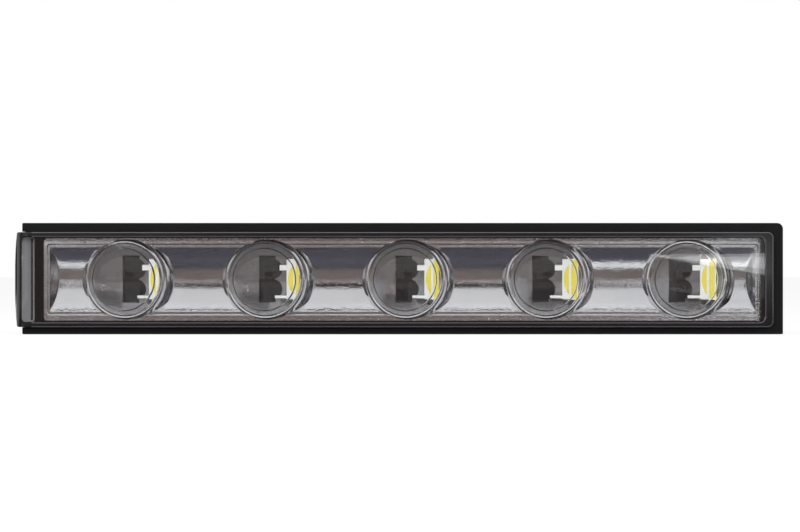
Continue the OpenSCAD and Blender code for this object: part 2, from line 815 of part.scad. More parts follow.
// A pan head screw along Y: its head's underside is at one depth, its tip at another, and it may face either way
module screw(x, z, seat_y, tip_y) {
    way = tip_y > seat_y ? -1 : 1;
    head_y = seat_y + way * head_t;
    socket_y = seat_y + way * head_t * 0.45;
    color([0.72, 0.72, 0.74])
        difference() {
            union() {
                bar(x, z, shank_r, min(tip_y, seat_y), max(tip_y, seat_y));
                bar(x, z, head_r, min(head_y, seat_y), max(head_y, seat_y));
            }
            for (turn = [0, 90])
                translate([x, 0, z])
                    rotate([0, turn, 0])
                        pad(0, 0, head_r * 1.2, head_r * 0.26, min(head_y + way, socket_y), max(head_y + way, socket_y));
        }
}

module heat_sink_screws() {
    for (x = sink_screw_x, s = [-1, 1])
        screw(x, mid_z + s * sink_screw_z, sink_y, back_y - grip + sink_base_t);
}

module board_screws() {
    for (i = [1:lens_count - 1]) screw(between_x(i), mid_z, board_y, board_y + grip);
}

module bezel_screws() {
    for (x = [mount_l, mount_r], s = [-1, 1]) screw(x, mid_z + s * post_z, back_y, back_y - grip);
}

// Brass insert: a bored sleeve with two grooves
module insert(x) {
    color([0.8, 0.66, 0.3])
        difference() {
            bar(x, mid_z, insert_r, rear_y - insert_l, rear_y);
            bar(x, mid_z, insert_bore_r, rear_y - insert_l - over, rear_y + over);
            for (share = [0.3, 0.65])
                difference() {
                    bar(x, mid_z, insert_r + over, rear_y - insert_l * share - 0.4, rear_y - insert_l * share + 0.4);
                    bar(x, mid_z, insert_r - 0.3, rear_y - insert_l - over, rear_y + over);
                }
        }
}

module insert_left() insert(mount_l);

module insert_right() insert(mount_r);

// Press-in breather cap with side slots
module vent_plug() {
    cap_t = 1.8;
    color([0.13, 0.13, 0.14])
        difference() {
            union() {
                bar(vent_x, mid_z, vent_r, back_y, back_y + cap_t);
                bar(vent_x, mid_z, vent_hole_r, inner_back_y, back_y + slip);
            }
            bar(vent_x, mid_z, vent_hole_r * 0.62, inner_back_y - over, back_y + cap_t * 0.55);
            for (turn = [0, 90])
                translate([vent_x, 0, mid_z])
                    rotate([0, turn, 0])
                        pad(0, 0, 3 * vent_r, vent_r * 0.22, back_y + cap_t * 0.3, back_y + cap_t * 0.55);
        }
}

module vent_membrane() {
    color([0.93, 0.93, 0.93])
        bar(vent_x, mid_z, vent_hole_r * 0.62, inner_back_y, inner_back_y + 0.3);
}

// A contact blade from the board out into the socket
module terminal(s) {
    color([0.84, 0.8, 0.68])
        pad(socket_x + s * blade_pitch / 2, mid_z, blade_t, blade_h, blade_y, rear_y - blade_inset);
}

module terminal_left() terminal(-1);

module terminal_right() terminal(1);

// Where a small component sits beside the screw between two chambers
function beside_x(i, side) = between_x(i) + side * (lens_pitch - cup_w) / 4;

module driver_chip() {
    color([0.12, 0.12, 0.13])
        pad(beside_x(1, 1), mid_z + component_z, min(chip_h, beside_w), chip_h, board_y - chip_t, board_y);
}

module inductor() {
    x = beside_x(2, 1);
    z = mid_z + component_z;
    flange_t = coil_t / 5;
    color([0.2, 0.2, 0.21])
        union() {
            pad(x, z, 2 * coil_r, 2 * coil_r, board_y - flange_t, board_y);
            bar(x, z, coil_r * 0.62, board_y - coil_t + slip, board_y - slip);
            bar(x, z, coil_r, board_y - coil_t, board_y - coil_t + flange_t);
        }
}

module capacitors() {
    color([0.6, 0.5, 0.38])
        for (i = [2:lens_count - 1])
            pad(beside_x(i, -1), mid_z + component_z, capacitor_w, capacitor_w / 2, board_y - capacitor_w / 2,
                board_y);
}

module diode() {
    color([0.14, 0.14, 0.15])
        pad(beside_x(1, 1), mid_z - component_z, min(1.6 * diode_h, beside_w), diode_h, board_y - diode_t, board_y);
}

module resistors() {
    color([0.16, 0.16, 0.18])
        for (i = [2:lens_count - 1])
            pad(beside_x(i, -1), mid_z - component_z, resistor_w, resistor_w * 0.6, board_y - resistor_w / 4,
                board_y);
}

housing();
outer_lens();
cover_rim();
lens_seal();
bezel();
circuit_board();
thermal_pad();
heat_sink();
heat_sink_screws();
board_screws();
bezel_screws();
insert_left();
insert_right();
vent_plug();
vent_membrane();
terminal_left();
terminal_right();
driver_chip();
inductor();
capacitors();
diode();
resistors();
for (i = [1:lens_count]) {
    lens(i);
    reflector_cup(i);
    led(i);
    phosphor(i);
}
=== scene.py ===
"""Daytime running light: finishes and fine meshes on the packed model, in metres."""

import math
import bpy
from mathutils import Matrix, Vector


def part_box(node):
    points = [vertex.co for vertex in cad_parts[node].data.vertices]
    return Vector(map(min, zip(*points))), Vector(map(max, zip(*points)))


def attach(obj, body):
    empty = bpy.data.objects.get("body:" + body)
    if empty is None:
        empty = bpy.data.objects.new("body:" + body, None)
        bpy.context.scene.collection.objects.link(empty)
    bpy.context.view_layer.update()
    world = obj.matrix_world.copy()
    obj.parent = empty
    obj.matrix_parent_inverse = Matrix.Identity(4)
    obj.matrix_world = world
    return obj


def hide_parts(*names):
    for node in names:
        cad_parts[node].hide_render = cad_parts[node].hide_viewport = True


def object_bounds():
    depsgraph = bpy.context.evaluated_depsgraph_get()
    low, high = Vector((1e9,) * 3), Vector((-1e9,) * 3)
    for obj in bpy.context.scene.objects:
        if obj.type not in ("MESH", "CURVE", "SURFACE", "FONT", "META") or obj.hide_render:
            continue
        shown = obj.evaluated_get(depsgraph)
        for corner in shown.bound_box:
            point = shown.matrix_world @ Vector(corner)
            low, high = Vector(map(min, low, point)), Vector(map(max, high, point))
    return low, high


bl_info = {
    "name": "Daytime Running Light",
    "version": (1, 0, 0),
    "blender": (4, 5, 0),
    "location": "View3D > Sidebar > Running Light",
    "description": "Builds a strip-shaped daytime running light with five projector lenses",
    "category": "Object",
}

import bmesh
import bpy
from bpy.props import FloatProperty, FloatVectorProperty, IntProperty, PointerProperty
from mathutils import Matrix, Vector

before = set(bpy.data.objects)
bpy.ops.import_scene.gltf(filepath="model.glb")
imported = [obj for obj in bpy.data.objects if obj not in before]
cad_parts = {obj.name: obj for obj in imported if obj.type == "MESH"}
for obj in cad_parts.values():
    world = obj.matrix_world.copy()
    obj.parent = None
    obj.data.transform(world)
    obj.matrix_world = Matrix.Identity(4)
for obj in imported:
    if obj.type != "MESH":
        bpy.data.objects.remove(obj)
CAD_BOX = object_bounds()

MM = 0.001
MIDDLE_Z = (CAD_BOX[0][2] + CAD_BOX[1][2]) / 2
LENS_NUMBERS = range(1, 6)


def length(name, description, default):
    """A size in metres that the sidebar shows in scene units."""
    return FloatProperty(name=name, description=description, default=default, subtype="DISTANCE",
                         unit="LENGTH", precision=5)


def angle(name, description, degrees):
    """An angle, given here in degrees."""
    return FloatProperty(name=name, description=description, default=math.radians(degrees), subtype="ANGLE")


def amount(name, description, default):
    """A plain number, such as the power of a lamp."""
    return FloatProperty(name=name, description=description, default=default)


def tint(name, description, default):
    """A colour that the sidebar shows as a swatch."""
    return FloatVectorProperty(name=name, description=description, default=default, size=3, min=0, max=1,
                               subtype="COLOR")


class StudioSettings(bpy.types.PropertyGroup):
    """Camera, floor and lamps."""

    camera_distance: length("Camera distance", "From the camera to the front rim", 0.8)
    camera_height: length("Camera height", "Height of the camera over the floor", 0.0184)
    camera_side: length("Camera side", "Place of the camera to the right of the middle", 0.0003)
    focal_length: amount("Focal length", "Focal length in millimetres", 133.6)
    backdrop: amount("Backdrop", "Strength of the white backdrop", 1.0)
    ambient: amount("Ambient", "Strength of the even light on matt surfaces", 0.62)
    lamp_power: amount("Lamp power", "Power of the soft lamp above", 6.0)
    front_power: amount("Front power", "Power of the soft lamp in front", 11.0)
    floor_colour: tint("Floor", "Colour of the floor", (0.86, 0.86, 0.86))
    tent_radius: length("Tent radius", "Radius of the cards that the mirror finishes see", 0.95)


class LensShape(bpy.types.PropertyGroup):
    """Sizes of the projector lenses."""

    radius: length("Radius", "Radius of the lens barrel", 0.00975)
    dome_radius: length("Dome radius", "Radius of the lens dome", 0.013)
    depth: length("Depth", "Depth of the lens behind its rim", 0.0079)
    ear_reach: length("Ear reach", "How far the two ears stand out", 0.0015)
    ear_thickness: length("Ear thickness", "Thickness of the ears", 0.0012)
    ear_height: length("Ear height", "Height of the ears", 0.011)
    yaw: angle("Yaw", "Turn of the lenses to the left end", 6)
    edge: length("Edge", "Radius of the small rounding round the dome", 0.00018)
    groove: length("Groove", "Depth of the fine ring groove in the dome", 0.00014)
    groove_radius: length("Groove radius", "Radius of the ring groove", 0.0085)
    segments: IntProperty(name="Segments", description="Facets round a lens", default=128, min=24)


class BezelShape(bpy.types.PropertyGroup):
    """Sizes of the chromed trough and its collars."""

    bore: length("Bore", "Radius of the hole for a lens", 0.0099)
    collar_edge: length("Collar edge", "Width of a collar's bright edge", 0.00045)
    bead: length("Bead", "Width of each bright chamfer on a collar's edge", 0.0004)
    flare: length("Flare", "How far a collar widens towards its foot", 0.0025)
    lens_proud: length("Lens stand", "How far the collars stand in front of the lips", 0.0004)
    lip: length("Lip", "Width of the lips above and below the channel", 0.00205)
    lip_lean: angle("Lip lean", "Lean of the upper lip", 2.2)
    depth: length("Channel depth", "Depth of the channel", 0.0034)
    skirt: length("Skirt depth", "Depth of the side walls", 0.0075)
    wall: length("Wall", "Wall of the bezel", 0.0015)
    step: length("Step", "Width and depth of the step along the lips", 0.00045)
    end_margin: length("End margin", "Width of the lips at the two ends", 0.0013)
    end_lean: length("End lean", "How far the end walls lean in", 0.0026)
    rounding: length("Rounding", "Radius on the edges of the lips", 0.00012)
    mount_margin: length("Post margin", "From the bezel's ends to its screw posts", 0.0046)
    post_radius: length("Post radius", "Radius of a screw post", 0.0024)


class FinishColours(bpy.types.PropertyGroup):
    """Colours of the finishes."""

    housing: tint("Housing", "Grained black plastic", (0.0045, 0.0045, 0.005))
    rim: tint("Cover band", "Gloss black plastic", (0.004, 0.004, 0.005))
    # Painted highlight: the band's rounded edges get this paler colour in place of the light they would
    # catch.
    rim_edge: tint("Band edge highlight", "Paler rounded edge of the band", (0.05, 0.048, 0.052))
    clear: tint("Clear", "Clear cover and lenses", (0.97, 0.98, 0.985))
    chrome: tint("Chrome", "Chromed bezel", (0.84, 0.84, 0.86))
    chamber: tint("Chambers", "Dull metallised chambers", (0.42, 0.4, 0.41))
    # Painted shade: the chamber walls get this dark colour in place of the shade deep inside each light
    # chamber.
    well: tint("Chamber walls", "Dark walls of the light chambers", (0.05, 0.05, 0.055))
    board: tint("Board", "Black solder resist", (0.006, 0.0065, 0.007))
    pad: tint("Pad", "Heat-conducting pad", (0.27, 0.33, 0.42))
    part: tint("Parts", "Black parts on the board", (0.02, 0.02, 0.022))
    ceramic: tint("Ceramic", "Capacitors and resistors", (0.32, 0.22, 0.13))
    membrane: tint("Membrane", "Vent membrane", (0.8, 0.8, 0.79))
    white: tint("White", "Light source package", (0.9, 0.87, 0.82))
    yellow: tint("Phosphor", "Yellow phosphor", (0.92, 0.74, 0.09))
    aluminium: tint("Aluminium", "Heat sink", (0.6, 0.61, 0.62))
    steel: tint("Steel", "Screws", (0.62, 0.62, 0.63))
    brass: tint("Brass", "Threaded inserts", (0.78, 0.57, 0.24))
    tin: tint("Tin", "Contact blades", (0.76, 0.73, 0.66))
    rubber: tint("Rubber", "Sealing bead", (0.17, 0.165, 0.175))


SETTINGS = {
    "drl_studio": StudioSettings,
    "drl_lens": LensShape,
    "drl_bezel": BezelShape,
    "drl_finish": FinishColours,
}


# Meshes

SHARP = math.radians(32)  # edges with a greater angle stay sharp
SHARP_ROUNDED = math.radians(12)  # the same on pieces with rounded edges
HARD_EDGE = math.radians(40)  # edges with a greater angle get a rounding
FLAT = math.radians(1)  # faces with a smaller angle count as one
WELD = 0.001 * MM
ON_AXIS = 1e-9


def mesh_object(name, verts, faces, material):
    """A smooth shaded object with its face normals outwards."""
    mesh = bpy.data.meshes.new(name)
    mesh.from_pydata(verts, [], faces)
    mesh.validate()
    shell = bmesh.new()
    shell.from_mesh(mesh)
    bmesh.ops.recalc_face_normals(shell, faces=shell.faces)
    shell.to_mesh(mesh)
    shell.free()
    obj = bpy.data.objects.new(name, mesh)
    bpy.context.scene.collection.objects.link(obj)
    finish_mesh(obj, material)
    return obj


def finish_mesh(obj, material, sharp=SHARP):
    """Smooth shading with sharp edges above an angle, and one material."""
    mesh = obj.data
    mesh.shade_smooth()
    mesh.set_sharp_from_angle(angle=sharp)
    mesh.materials.clear()
    mesh.materials.append(material)


def combine(obj, tool, operation):
    """Cuts or joins obj with a closed tool, and removes the tool."""
    step = obj.modifiers.new(operation.title(), "BOOLEAN")
    step.operation = operation
    step.solver = "EXACT"
    step.object = tool
    bake_modifiers(obj)
    bpy.data.objects.remove(tool)


def bake_modifiers(obj):
    """Replaces an object's mesh by what its modifiers make of it."""
    graph = bpy.context.evaluated_depsgraph_get()
    shaped = bpy.data.meshes.new_from_object(obj.evaluated_get(graph))
    obj.modifiers.clear()
    obj.data = shaped


def arc(centre, radius, start, end, steps):
    """Points on an arc in a section plane, angles in degrees."""
    points = []
    for i in range(steps + 1):
        turn = math.radians(start + (end - start) * i / steps)
        points.append((centre[0] + radius * math.cos(turn), centre[1] + radius * math.sin(turn)))
    return points


def revolve(section, segments, place, limit=None):
    """Spins an open section of (radius, depth) points that starts or ends on the axis, or a closed one."""
    verts, faces, rows = [], [], []
    for radius, depth in section:
        if radius < ON_AXIS:
            rows.append([len(verts)])
            verts.append(place @ Vector((0, depth, 0)))
            continue
        row = []
        for i in range(segments):
            turn = 2 * math.pi * i / segments
            up = radius * math.sin(turn)
            if limit:
                up = max(-limit, min(limit, up))
            row.append(len(verts))
            verts.append(place @ Vector((radius * math.cos(turn), depth, up)))
        rows.append(row)
    closed = len(rows[0]) > 1 and len(rows[-1]) > 1
    pairs = list(zip(rows, rows[1:])) + ([(rows[-1], rows[0])] if closed else [])
    for a, b in pairs:
        for i in range(segments):
            j = (i + 1) % segments
            quad = [a[i % len(a)], a[j % len(a)], b[j % len(b)], b[i % len(b)]]
            face = [v for k, v in enumerate(quad) if v not in quad[:k]]
            faces.append(face)
    return verts, faces


def joined(parts):
    """One list of verts and one of faces from several."""
    verts, faces = [], []
    for part_verts, part_faces in parts:
        start = len(verts)
        verts += part_verts
        faces += [[v + start for v in face] for face in part_faces]
    return verts, faces


def lens_place(number):
    """The place of a lens: origin in the middle of its rim, depth along +Y."""
    lens = bpy.context.scene.drl_lens
    bezel = bpy.context.scene.drl_bezel
    low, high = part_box(f"lens_{number}")
    rim_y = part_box("bezel")[0][1] + (bezel.bore + bezel.collar_edge) * math.sin(lens.yaw)
    ear_shift = (lens.depth - lens.ear_thickness / 2) * math.sin(lens.yaw)
    middle = Vector(((low[0] + high[0]) / 2 - ear_shift, rim_y, (low[2] + high[2]) / 2))
    return Matrix.Translation(middle) @ Matrix.Rotation(-lens.yaw, 4, "Z")


# Node tools and effects

NOISE_LOW, NOISE_HIGH = 0.3, 0.7  # the span that a noise fills in practice


def add(tree, kind, inputs=None, **settings):
    """A node with its settings, input values and links."""
    node = tree.nodes.new(kind)
    for name, value in settings.items():
        setattr(node, name, value)
    for name, value in (inputs or {}).items():
        if isinstance(value, bpy.types.NodeSocket):
            tree.links.new(value, node.inputs[name])
        else:
            node.inputs[name].default_value = value
    return node


def reckon(tree, operation, *values):
    """The result of one step of arithmetic on numbers or masks."""
    return add(tree, "ShaderNodeMath", dict(enumerate(values)), operation=operation).outputs[0]


def noise(tree, place, scale, detail):
    """A noise over the surface."""
    return add(tree, "ShaderNodeTexNoise", {"Vector": place, "Scale": scale, "Detail": detail}).outputs[0]


def relief(tree, height, steepness, distance, **under):
    """A normal raised by a height, on top of another Normal if one is given."""
    inputs = {"Height": height, "Strength": steepness, "Distance": distance, **under}
    return add(tree, "ShaderNodeBump", inputs).outputs["Normal"]


def mixed(tree, mask, low, high):
    """A colour between two. The mix node's colour sockets share their names, so they go by number."""
    return add(tree, "ShaderNodeMix", {0: mask, 6: low, 7: high}, data_type="RGBA").outputs[2]


def ramp(tree, factor, stops):
    """A colour that runs through stops of (position, colour)."""
    node = add(tree, "ShaderNodeValToRGB", {"Fac": factor})
    elements = node.color_ramp.elements
    for _ in range(len(stops) - len(elements)):
        elements.new(0.5)
    for element, (position, colour) in zip(elements, stops):
        element.position = position
        element.color = (*colour, 1)
    return node.outputs["Color"]


def between(tree, mask, low, high):
    """Spreads a noise over a range of numbers."""
    span = {"From Min": NOISE_LOW, "From Max": NOISE_HIGH, "To Min": low, "To Max": high}
    return add(tree, "ShaderNodeMapRange", {"Value": mask, **span}).outputs["Result"]


def shaded(tree, mask, colour, depth):
    """A colour that darkens where a noise is low."""
    dark = [channel * depth for channel in colour]
    return ramp(tree, mask, [(NOISE_LOW, dark), (NOISE_HIGH, colour)])


def new_group(name, inputs, outputs):
    """A shader node group with named float inputs, and the sockets that give their values."""
    tree = bpy.data.node_groups.new(name, "ShaderNodeTree")
    for label, default in inputs:
        socket = tree.interface.new_socket(label, in_out="INPUT", socket_type="NodeSocketFloat")
        socket.default_value = default
    for label, kind in outputs:
        tree.interface.new_socket(label, in_out="OUTPUT", socket_type=kind)
    return tree, tree.nodes.new("NodeGroupInput").outputs


def moulded_grain():
    """Fine leather-like grain and a faint mottle of moulded plastic."""
    tree, given = new_group(
        "Moulded Grain",
        [("Grain Scale", 2600.0), ("Strength", 0.3), ("Mottle Scale", 120.0)],
        [("Normal", "NodeSocketVector"), ("Mottle", "NodeSocketFloat")],
    )
    place = add(tree, "ShaderNodeTexCoord").outputs["Object"]
    grain = noise(tree, place, given["Grain Scale"], detail=3.0)
    normal = relief(tree, grain, given["Strength"], distance=0.1 * MM)
    mottle = noise(tree, place, given["Mottle Scale"], detail=4.0)
    add(tree, "NodeGroupOutput", {"Normal": normal, "Mottle": mottle})
    return tree


def metallised_skin():
    """Orange peel, fine grain and haze of a metallised lacquer."""
    tree, given = new_group(
        "Metallised Skin",
        [("Peel Scale", 500.0), ("Peel Strength", 0.1), ("Grain Scale", 3800.0), ("Grain Strength", 0.1)],
        [("Normal", "NodeSocketVector"), ("Haze", "NodeSocketFloat")],
    )
    place = add(tree, "ShaderNodeTexCoord").outputs["Object"]
    peel = noise(tree, place, given["Peel Scale"], detail=2.0)
    grain = noise(tree, place, given["Grain Scale"], detail=2.0)
    coarse = relief(tree, peel, given["Peel Strength"], distance=0.4 * MM)
    fine = relief(tree, grain, given["Grain Strength"], distance=0.1 * MM, Normal=coarse)
    haze = noise(tree, place, 60.0, detail=5.0)
    add(tree, "NodeGroupOutput", {"Normal": fine, "Haze": haze})
    return tree


def well_walls():
    """One on faces that run along the lens axis, and nought on those across it: the chamber walls that get
    painted shade.
    """
    tree, given = new_group("Well Walls", [("Limit", 0.5)], [("Mask", "NodeSocketFloat")])
    surface = add(tree, "ShaderNodeNewGeometry")
    parts = add(tree, "ShaderNodeSeparateXYZ", {0: surface.outputs["True Normal"]})
    across = reckon(tree, "ABSOLUTE", parts.outputs["Y"])
    mask = reckon(tree, "LESS_THAN", across, given["Limit"])
    add(tree, "NodeGroupOutput", {"Mask": mask})
    return tree


def painted_edge_highlight():
    """One on edges that tilt between the main directions, but not on the turned left end: where the band gets
    its painted highlight.
    """
    turned_end = 5 * MM
    tree, given = new_group(
        "Painted Edge Highlight",
        [("Limit", 0.975), ("From X", CAD_BOX[0][0] + turned_end)],
        [("Mask", "NodeSocketFloat")],
    )
    surface = add(tree, "ShaderNodeNewGeometry")
    size = add(tree, "ShaderNodeVectorMath", {0: surface.outputs["True Normal"]}, operation="ABSOLUTE")
    parts = add(tree, "ShaderNodeSeparateXYZ", {0: size.outputs["Vector"]}).outputs
    wide = reckon(tree, "MAXIMUM", parts["X"], parts["Y"])
    most = reckon(tree, "MAXIMUM", wide, parts["Z"])
    tilted = reckon(tree, "LESS_THAN", most, given["Limit"])
    place = add(tree, "ShaderNodeTexCoord")
    along = add(tree, "ShaderNodeSeparateXYZ", {0: place.outputs["Object"]})
    right = reckon(tree, "GREATER_THAN", along.outputs["X"], given["From X"])
    mask = reckon(tree, "MULTIPLY", tilted, right)
    add(tree, "NodeGroupOutput", {"Mask": mask})
    return tree


def drawn_lines():
    """Lines of drawn, turned or milled metal, along one axis, with a stain."""
    tree, given = new_group(
        "Drawn Lines",
        [("Lines X", 40.0), ("Lines Y", 2500.0), ("Lines Z", 2500.0), ("Strength", 0.2)],
        [("Normal", "NodeSocketVector"), ("Lines", "NodeSocketFloat"), ("Stain", "NodeSocketFloat")],
    )
    place = add(tree, "ShaderNodeTexCoord").outputs["Object"]
    scale = add(tree, "ShaderNodeCombineXYZ", {axis: given[f"Lines {axis}"] for axis in "XYZ"})
    stretched = add(tree, "ShaderNodeVectorMath", {0: place, 1: scale.outputs[0]}, operation="MULTIPLY")
    lines = noise(tree, stretched.outputs[0], 1.0, detail=3.0)
    normal = relief(tree, lines, given["Strength"], distance=0.05 * MM)
    stain = noise(tree, place, 150.0, detail=5.0)
    add(tree, "NodeGroupOutput", {"Normal": normal, "Lines": lines, "Stain": stain})
    return tree


def effect(tree, maker, **values):
    """Places an effect group in a material, and builds the group the first time."""
    title = maker.__name__.replace("_", " ").title()
    group = bpy.data.node_groups.get(title) or maker()
    node = add(tree, "ShaderNodeGroup", node_tree=group)
    for name, value in values.items():
        node.inputs[name.replace("_", " ")].default_value = value
    return node


def new_material(name):
    """An empty node material and its tree."""
    material = bpy.data.materials.new(name)
    material.use_nodes = True
    material.node_tree.nodes.clear()
    return material, material.node_tree


def surfaced(material, tree, inputs):
    """Gives a material its opaque surface."""
    shader = add(tree, "ShaderNodeBsdfPrincipled", inputs)
    add(tree, "ShaderNodeOutputMaterial", {"Surface": shader.outputs[0]})
    return material


def plastic(name, colour, rough, grain, scale=2600.0, depth=0.8, specular=0.5, ior=1.5, edge=None):
    """Moulded or lacquered plastic, rubber or ceramic, with a painted highlight in a paler colour on its
    rounded edges if one is given.
    """
    material, tree = new_material(name)
    skin = effect(tree, moulded_grain, Strength=grain, Grain_Scale=scale)
    mottle = skin.outputs["Mottle"]
    base = shaded(tree, mottle, colour, depth)
    # Painted highlight: a paler colour on the rounded edges, where the band would catch the light.
    if edge is not None:
        base = mixed(tree, effect(tree, painted_edge_highlight).outputs["Mask"], base, (*edge, 1))
    return surfaced(material, tree, {
        "Base Color": base, "Roughness": between(tree, mottle, *rough), "Normal": skin.outputs["Normal"],
        "Specular IOR Level": specular, "IOR": ior})


def mirror_metal(name, colour, rough, peel, grain, grain_scale):
    """Metallised plastic with orange peel."""
    material, tree = new_material(name)
    skin = effect(tree, metallised_skin, Peel_Strength=peel, Grain_Strength=grain, Grain_Scale=grain_scale)
    haze = skin.outputs["Haze"]
    return surfaced(material, tree, {
        "Base Color": shaded(tree, haze, colour, depth=0.9), "Metallic": 1.0,
        "Roughness": between(tree, haze, *rough), "Normal": skin.outputs["Normal"]})


def chamber_metal(name, colour, walls, rough):
    """Dull metallised plastic, with painted shade that darkens the side walls of each light chamber."""
    material, tree = new_material(name)
    skin = effect(tree, metallised_skin, Peel_Strength=0.25, Grain_Strength=0.15)
    haze = skin.outputs["Haze"]
    # Painted shade: the walls take the darker colour, standing in for the shade deep in the chamber.
    base = mixed(tree, effect(tree, well_walls).outputs["Mask"], shaded(tree, haze, colour, depth=0.9),
                 shaded(tree, haze, walls, depth=0.8))
    return surfaced(material, tree, {
        "Base Color": base, "Metallic": 0.8, "Roughness": between(tree, haze, *rough),
        "Normal": skin.outputs["Normal"]})


def plain_metal(name, colour, rough, grain=0.2, lines=(2500.0, 2500.0, 40.0)):
    """Drawn, turned or milled metal."""
    material, tree = new_material(name)
    skin = effect(tree, drawn_lines, Strength=grain, Lines_X=lines[0], Lines_Y=lines[1], Lines_Z=lines[2])
    return surfaced(material, tree, {
        "Base Color": shaded(tree, skin.outputs["Stain"], colour, depth=0.82), "Metallic": 1.0,
        "Roughness": between(tree, skin.outputs["Lines"], *rough), "Normal": skin.outputs["Normal"]})


def clear_plastic(name, colour, ior, waviness):
    """Clear moulded plastic that lets lamps through to what is behind it."""
    material, tree = new_material(name)
    skin = effect(tree, moulded_grain, Strength=waviness, Grain_Scale=90.0, Mottle_Scale=60.0)
    glass = add(tree, "ShaderNodeBsdfPrincipled",
                {"Base Color": (*colour, 1), "IOR": ior, "Transmission Weight": 1.0,
                 "Roughness": between(tree, skin.outputs["Mottle"], 0.0, 0.02),
                 "Normal": skin.outputs["Normal"]})
    through = add(tree, "ShaderNodeBsdfTransparent", {"Color": (*colour, 1)})
    shadow = add(tree, "ShaderNodeLightPath").outputs["Is Shadow Ray"]
    mix = add(tree, "ShaderNodeMixShader", {0: shadow, 1: glass.outputs[0], 2: through.outputs[0]})
    add(tree, "ShaderNodeOutputMaterial", {"Surface": mix.outputs[0]})
    return material


def dress(material, *nodes):
    """Gives CAD nodes a finish."""
    for name in nodes:
        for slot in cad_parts[name].material_slots:
            slot.material = material


def present(obj, slot, *nodes):
    """A new piece that rides on the lamp and stands for CAD nodes."""
    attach(obj, "root")
    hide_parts(*nodes)


def softened(name, node, material, width, clamped=True):
    """A copy of a CAD node with its sharp edges rounded a little."""
    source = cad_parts[node]
    obj = bpy.data.objects.new(name, source.data.copy())
    bpy.context.scene.collection.objects.link(obj)
    obj.matrix_world = source.matrix_world.copy()
    shell = bmesh.new()
    shell.from_mesh(obj.data)
    bmesh.ops.remove_doubles(shell, verts=shell.verts, dist=WELD)
    bmesh.ops.dissolve_limit(shell, angle_limit=FLAT, verts=shell.verts, edges=shell.edges)
    shell.to_mesh(obj.data)
    shell.free()
    rounding = obj.modifiers.new("Rounding", "BEVEL")
    rounding.width = width
    rounding.segments = 3
    rounding.limit_method = "ANGLE"
    rounding.angle_limit = HARD_EDGE
    rounding.use_clamp_overlap = clamped
    bake_modifiers(obj)
    finish_mesh(obj, material, SHARP_ROUNDED)
    return obj


# Stage

WHITE = (1, 1, 1, 1)
FLOOR_REACH = 4.0
FLOOR_GLOW = 1.03  # the floor's own white, as a multiple of the backdrop's
FLOOR_SHARE = 0.82  # the share of that white in what the camera and the mirrors see
SOFTBOX_PLACE, SOFTBOX_SIZE = (-0.1, -0.55, 0.75), (1.2, 0.6)
FRONT_PLACE, FRONT_SIZE, FRONT_TILT = (0, -0.95, 0.1), (0.5, 0.25), math.radians(85)
SENSOR_WIDTH = 36.0

# Colours of the tent from straight below to straight above: angle over the horizon in degrees, colour
TENT_BANDS = (
    (-90, (0.08, 0.08, 0.11)), (-26, (0.075, 0.075, 0.1)), (-23.5, (0.03, 0.03, 0.045)),
    (-17.5, (0.035, 0.035, 0.05)), (-15.5, (0.17, 0.14, 0.125)), (1.6, (0.2, 0.165, 0.155)),
    (3, (0.42, 0.36, 0.34)), (6.5, (0.46, 0.4, 0.38)), (8, (0.02, 0.018, 0.017)),
    (17, (0.02, 0.018, 0.017)), (19, (0.8, 0.79, 0.79)), (50, (0.9, 0.89, 0.89)), (70, (1.3, 1.29, 1.3)),
)
# Pale flanks of the tent: distance to either side as a share of its radius, cover
TENT_FLANKS = ((0.5, 0), (0.62, 0.9), (0.82, 0.9), (0.9, 0))
FLANK_COLOUR = (0.85, 0.845, 0.85, 1)

# Upright cards: strength, depth, and corners to the side and up
UPRIGHT_CARDS = {
    "studio_streak": (3.4, -0.8, [(0.136, 0.0236), (0.196, 0.0232), (0.196, 0.0165)]),
    "studio_halo": (2.0, -0.801, [(0.132, 0.0242), (0.198, 0.0252), (0.198, 0.013)]),
    "studio_spark": (14.0, -0.8, [(0.012, 0.084), (0.02, 0.084), (0.02, 0.092), (0.012, 0.092)]),
    "studio_right": (0.62, -0.8, [(0.1, 0.042), (0.45, 0.042), (0.45, 0.3), (0.13, 0.3)]),
    "studio_end": (0.42, -0.802, [(0.166, 0.001), (0.3, 0.001), (0.3, 0.042), (0.166, 0.042)]),
    "studio_dark": (0.02, 0.3, [(-0.108, 0.001), (-0.6, 0.001), (-0.6, 0.25), (-0.108, 0.25)]),
    "studio_left": (0.66, -0.8, [(-0.15, 0.042), (-0.45, 0.042), (-0.45, 0.3), (-0.17, 0.3)]),
}
# Strips that lie in front of the lamp: strength, and corners to the side and in depth
STRIP_HEIGHT = 0.8 * MM
FLOOR_STRIPS = {
    "studio_strip_right": (1.0, [(0.046, -0.044), (0.2, -0.044), (0.2, -0.032), (0.05, -0.032)]),
    "studio_strip_left": (0.9, [(-0.081, -0.044), (-0.2, -0.044), (-0.2, -0.032), (-0.077, -0.032)]),
}


def studio_mesh(name, verts, faces, material, mirrored_only=True):
    """A mesh for the stage, which only mirrors and glass see unless told otherwise."""
    mesh = bpy.data.meshes.new(name)
    mesh.from_pydata(verts, [], faces)
    mesh.materials.append(material)
    obj = bpy.data.objects.new(name, mesh)
    bpy.context.scene.collection.objects.link(obj)
    if mirrored_only:
        obj.visible_camera = False
        obj.visible_diffuse = False
        obj.visible_shadow = False
    return obj


def seen_directly(tree):
    """One for the camera's rays and for those of mirrors and glass, and nought for the rest."""
    path = add(tree, "ShaderNodeLightPath").outputs
    seen = reckon(tree, "MAXIMUM", path["Is Camera Ray"], path["Is Glossy Ray"])
    return reckon(tree, "MAXIMUM", seen, path["Is Transmission Ray"])


